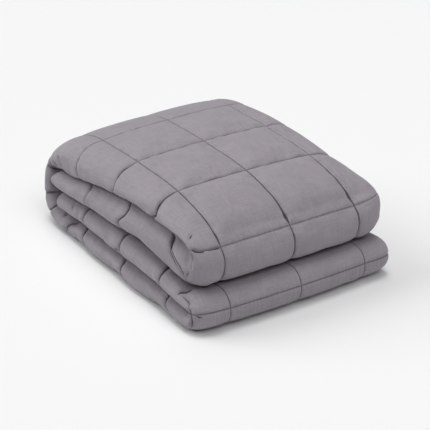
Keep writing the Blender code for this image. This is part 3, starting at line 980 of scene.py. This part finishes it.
# near black: the stitching's own dark together with painted shade, and the painted shade of creases
SEAM_DARK_AND_PAINTED_SHADE = (0.030, 0.026, 0.032, 1.0)
quilted_cloth, shader, maths = new_material("quilted cloth", CLOTH, 0.82, 0.25, 0.3)
place = maths.add("ShaderNodeUVMap", {"uv_map": "cloth"})
split = maths.add("ShaderNodeSeparateXYZ", sockets={"Vector": place})
across, down = split.part(0), split.part(1)


def seam_distance(value):
    """Distance to the nearest whole square, in metres."""
    squares = value * (1 / SQUARE)
    return abs(squares - squares.math("ROUND", squares)) * SQUARE


from_cross, from_long = seam_distance(down), seam_distance(across)
beside = 1 - abs(across).between(SQUARE + 0.004, SQUARE + 0.006)  # no long seams past the outermost


def grain(across_it, along_it):
    """Drawn-out noise, for so many specks a metre across the cloth and along it."""
    drawn_out = {"Vector": place, "Scale": (across_it, along_it, 1.0)}
    return maths.noise(maths.add("ShaderNodeMapping", {}, drawn_out), 1.0)


def stored(name):
    """A number that the mesh keeps for each vertex."""
    return maths.add("ShaderNodeAttribute", {"attribute_name": name}, output=2)


# colour: slow clouds, and fine slubs and streaks along both threads
clouds = maths.noise(place, 26.0, 3.0).between(0.25, 0.75)
slub = (grain(1900.0, 120.0) + grain(120.0, 1900.0)) * 0.5
streaks = ((grain(480.0, 45.0) + grain(45.0, 480.0)) * 0.5).between(0.30, 0.70)
pale = clouds * 0.2 + slub * 0.35 + streaks * 0.45
base = maths.blend(pale, CLOTH, CLOTH_PALE)
print("plain cloth:", len(quilted_cloth.node_tree.nodes), "nodes")

# %% Draw the dark lines of the seams, and the painted shade of the creases
CROSS_LINE = (0.0004, 0.0016)  # where a seam's dark line starts to fade and is gone
LONG_LINE = (0.0003, 0.0012)
# painted shade of the creases' soft hollows
CREASE_PAINTED_SHADE = 0.8  # how dark a soft hollow can get, next to a seam's line
SHAKE = 0.003  # how far apart the noise can move the slits
SLIT_EDGE = (0.2, 1.25)  # shares of its half width where a slit starts to fade and is gone
SLIT_TIP = 0.2  # share of its half width that a slit still has at its two ends

# each slit of painted shadow is a chain of straight pieces; noise keeps them from looking ruled
jitter = maths.noise(place, 75.0, 1.0).part(1)
shaken = place.vector("ADD", jitter.vector("MULTIPLY", (SHAKE, SHAKE, 0.0)))
shaken = shaken.vector("SUBTRACT", (SHAKE / 2, SHAKE / 2, 0.0))


def painted_slit_shadow(start, end, start_width, end_width):
    """Painted shadow of a narrow crease: 1 on a straight line over the cloth's map and 0 beside it,
    for half widths in millimetres.
    """
    a, b = (Vector((float(girth(s)), a * SQUARE, 0.0)) for a, s in (start, end))
    away = shaken.vector("SUBTRACT", a)
    share = away.vector("DOT_PRODUCT", (b - a) / (b - a).length_squared).part(1)
    share = share.math("MINIMUM", share.math("MAXIMUM", share, 0.0), 1.0)
    along_it = maths.add(
        "ShaderNodeVectorMath", {"operation": "SCALE"}, {0: b - a, "Scale": share}
    )
    away = away.vector("SUBTRACT", along_it).vector("LENGTH", (0, 0, 0)).part(1)
    half_width = share * (0.001 * (end_width - start_width)) + 0.001 * start_width
    return 1 - away.between(half_width * SLIT_EDGE[0], half_width * SLIT_EDGE[1])


def chain(points, half_width):
    """The pieces of one slit of painted shadow, drawn to a point at both ends."""
    points = list(points)
    if len(points) == 2:
        points.insert(1, ((points[0][0] + points[1][0]) / 2, (points[0][1] + points[1][1]) / 2))
    tip = SLIT_TIP * half_width
    widths = [tip] + [half_width] * (len(points) - 2) + [tip]
    return [painted_slit_shadow(*each) for each in zip(points, points[1:], widths, widths[1:])]


# seam lines, partly the stitching's own dark and partly painted shade; creases: painted shade
cross_line = (1 - from_cross.between(*CROSS_LINE)) * stored("cross_dark")
long_line = (1 - from_long.between(*LONG_LINE)) * stored("long_dark")
shade = cross_line.largest(long_line * beside, stored("crease") * CREASE_PAINTED_SHADE)
for points, _, _, _, half_width in CREASES:
    if half_width > 0:
        shade = shade.largest(*chain(points, half_width))
# the seam lines and the painted shade of creases and slits darken the base colour
maths.blend(shade, base, SEAM_DARK_AND_PAINTED_SHADE).link(shader, "Base Color")
print("with its dark lines:", len(quilted_cloth.node_tree.nodes), "nodes")

# %% Give the cloth its relief and its gloss
WEAVE_PITCH = 0.00052
# how far each kind of unevenness stands up, in metres
WEAVE_RELIEF = 0.00004
SLUB_RELIEF = 0.00012
PUCKER_RELIEF = 0.0028
UNEVEN_RELIEF = 0.0024
WRINKLE_RELIEF = 0.0011
PUCKER_REACH = (0.030, 0.016)  # from the cross seams and from the long ones


def threads(value):
    """A wave that crests at every second thread."""
    turned = value * (2 * math.pi / WEAVE_PITCH)
    return turned.math("SINE", turned)


# bump: the weave, puckers that run in to each seam, and soft unevenness
weave = threads(across) * threads(down) * WEAVE_RELIEF
by_cross = 1 - from_cross.between(0.0, PUCKER_REACH[0])
by_long = (1 - from_long.between(0.0, PUCKER_REACH[1])) * beside
puckers = (grain(200.0, 18.0) * by_cross + grain(18.0, 200.0) * by_long) * PUCKER_RELIEF
uneven = maths.noise(place, 42.0) * UNEVEN_RELIEF
wrinkles = grain(150.0, 45.0) * WRINKLE_RELIEF
height = weave + puckers + uneven + wrinkles + slub * SLUB_RELIEF
bump = maths.add("ShaderNodeBump", {}, {"Strength": 0.8, "Distance": 1.0, "Height": height})
bump.link(shader, "Normal")
(slub * 0.14 + 0.76).link(shader, "Roughness")
print("with its relief:", len(quilted_cloth.node_tree.nodes), "nodes")

# %% Dress the blanket
blanket.data.materials.append(quilted_cloth)
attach(blanket, "root")
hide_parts("folded_blanket")

# %% [markdown]
# ## Stitches
#
# The quilting is sewn with stitches about three and a half millimetres long. Each lies in the groove
# of its seam, half sunk in the cloth. One is modelled, and copied along every seam in the open.

# %% One stitch, lying along Z
STITCH_PITCH = 0.0035
STITCH_LENGTH = 0.0029
STITCH_WIDTH = 0.0007
STITCH_RISE = 0.0002  # of its middle above the groove's bottom
THREAD = (0.150, 0.138, 0.152, 1.0)
thread, _, _ = new_material("thread", THREAD, 0.6, 0.1, 0.3)
bpy.ops.mesh.primitive_uv_sphere_add(segments=6, ring_count=5, radius=0.5, location=(0, 0, 0))
one_stitch = bpy.context.object
bpy.ops.transform.resize(value=(STITCH_WIDTH, STITCH_WIDTH, STITCH_LENGTH))
bpy.ops.object.transform_apply(location=False, rotation=False, scale=True)
bpy.ops.object.shade_smooth()
one_stitch.data.materials.append(thread)
print("one stitch:", len(one_stitch.data.polygons), "faces")

# %% Copy it along the seams
points, normals = read_points(blanket), read_normals(blanket)
sewn = []


def sew(on_seam, order):
    """Lays copies of the stitch along the vertices of one seam, evenly spaced."""
    index = np.flatnonzero(on_seam)
    index = index[np.argsort(order[index])]
    run, outward = points[index], normals[index]
    steps = np.linalg.norm(np.diff(run, axis=0), axis=1)
    reached = np.append(0.0, np.cumsum(steps))
    count = int(reached[-1] / STITCH_PITCH)

    def at(distance, rows):
        return Vector([float(np.interp(distance, reached, rows[:, k])) for k in range(3)])

    for middle in (np.arange(count) + 0.5) * reached[-1] / count:
        tangent = at(middle + STITCH_LENGTH / 2, run) - at(middle - STITCH_LENGTH / 2, run)
        tangent.normalize()
        side = at(middle, outward).cross(tangent).normalized()
        up = tangent.cross(side)
        turn = Matrix((side, up, tangent)).transposed().to_4x4()
        stitch = one_stitch.copy()
        stitch.data = one_stitch.data.copy()
        stitch.data.transform(Matrix.Translation(at(middle, run) + up * STITCH_RISE) @ turn)
        bpy.context.collection.objects.link(stitch)
        sewn.append(stitch)


q = np.abs(around)
for seam in range(1, SQUARES):
    open_row = (np.abs(along - seam) * SQUARE < ON_SEAM) & (q < HIDDEN_FROM)
    if shows(float(seam)) > 0.5:
        sew(open_row, around)
    else:
        sew(open_row & (around < -1.0), around)
        sew(open_row & (around > 1.0), around)
for seam in LONG_SEAMS:
    on_seam = np.abs(around - seam) * SQUARE < ON_SEAM
    for start, end in SHOWN:
        sew(on_seam & (along > start) & (along < end), along)
print("stitches:", len(sewn))

# %% Join the stitches into one piece
only(sewn[0])
for stitch in sewn:
    stitch.select_set(True)
bpy.ops.object.join()
stitches = bpy.context.object
stitches.name = "stitches"
stitches.data.name = "stitches"
bpy.data.objects.remove(one_stitch)
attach(stitches, "root")

# %% [markdown]
# ## Floor and light
#
# The photograph is lit softly from overhead, from the back and back left, which pales the top and
# the left side, and from the front. A sun with a wide disc is as soft at every distance.

# %% Floor
bpy.ops.mesh.primitive_plane_add(size=14.0, location=(0, 0, 0))
floor = bpy.context.object
floor.name = "floor"
pale_floor, _, _ = new_material("pale floor", (0.82, 0.82, 0.825, 1.0), 0.9, 0.0, 0.1)
floor.data.materials.append(pale_floor)

# %% Lights
# Direction towards each source, strength and width of the disc in degrees
SUNS = (
    ("overhead", (0.0, 0.0, 1.0), 1.25, 30.0),
    ("back", (0.0, 0.6, 1.0), 0.65, 50.0),
    ("back left", (-1.0, 1.0, 1.0), 1.35, 40.0),
    ("front", (0.0, -1.0, 1.3), 1.10, 40.0),
)
for name, towards, strength, width in SUNS:
    bpy.ops.object.light_add(type="SUN", location=(0, 0, 2))
    sun = bpy.context.object
    sun.name = name
    sun.rotation_euler = Vector(towards).to_track_quat("Z", "Y").to_euler()
    sun.data.energy = strength
    sun.data.angle = math.radians(width)
world = bpy.data.worlds.new("studio")
bpy.context.scene.world = world
world.use_nodes = True
background = world.node_tree.nodes["Background"]
background.inputs["Color"].default_value = (1.0, 1.0, 1.0, 1.0)
background.inputs["Strength"].default_value = 0.04
bpy.context.scene.view_settings.view_transform = "Standard"
print("suns:", len(SUNS))
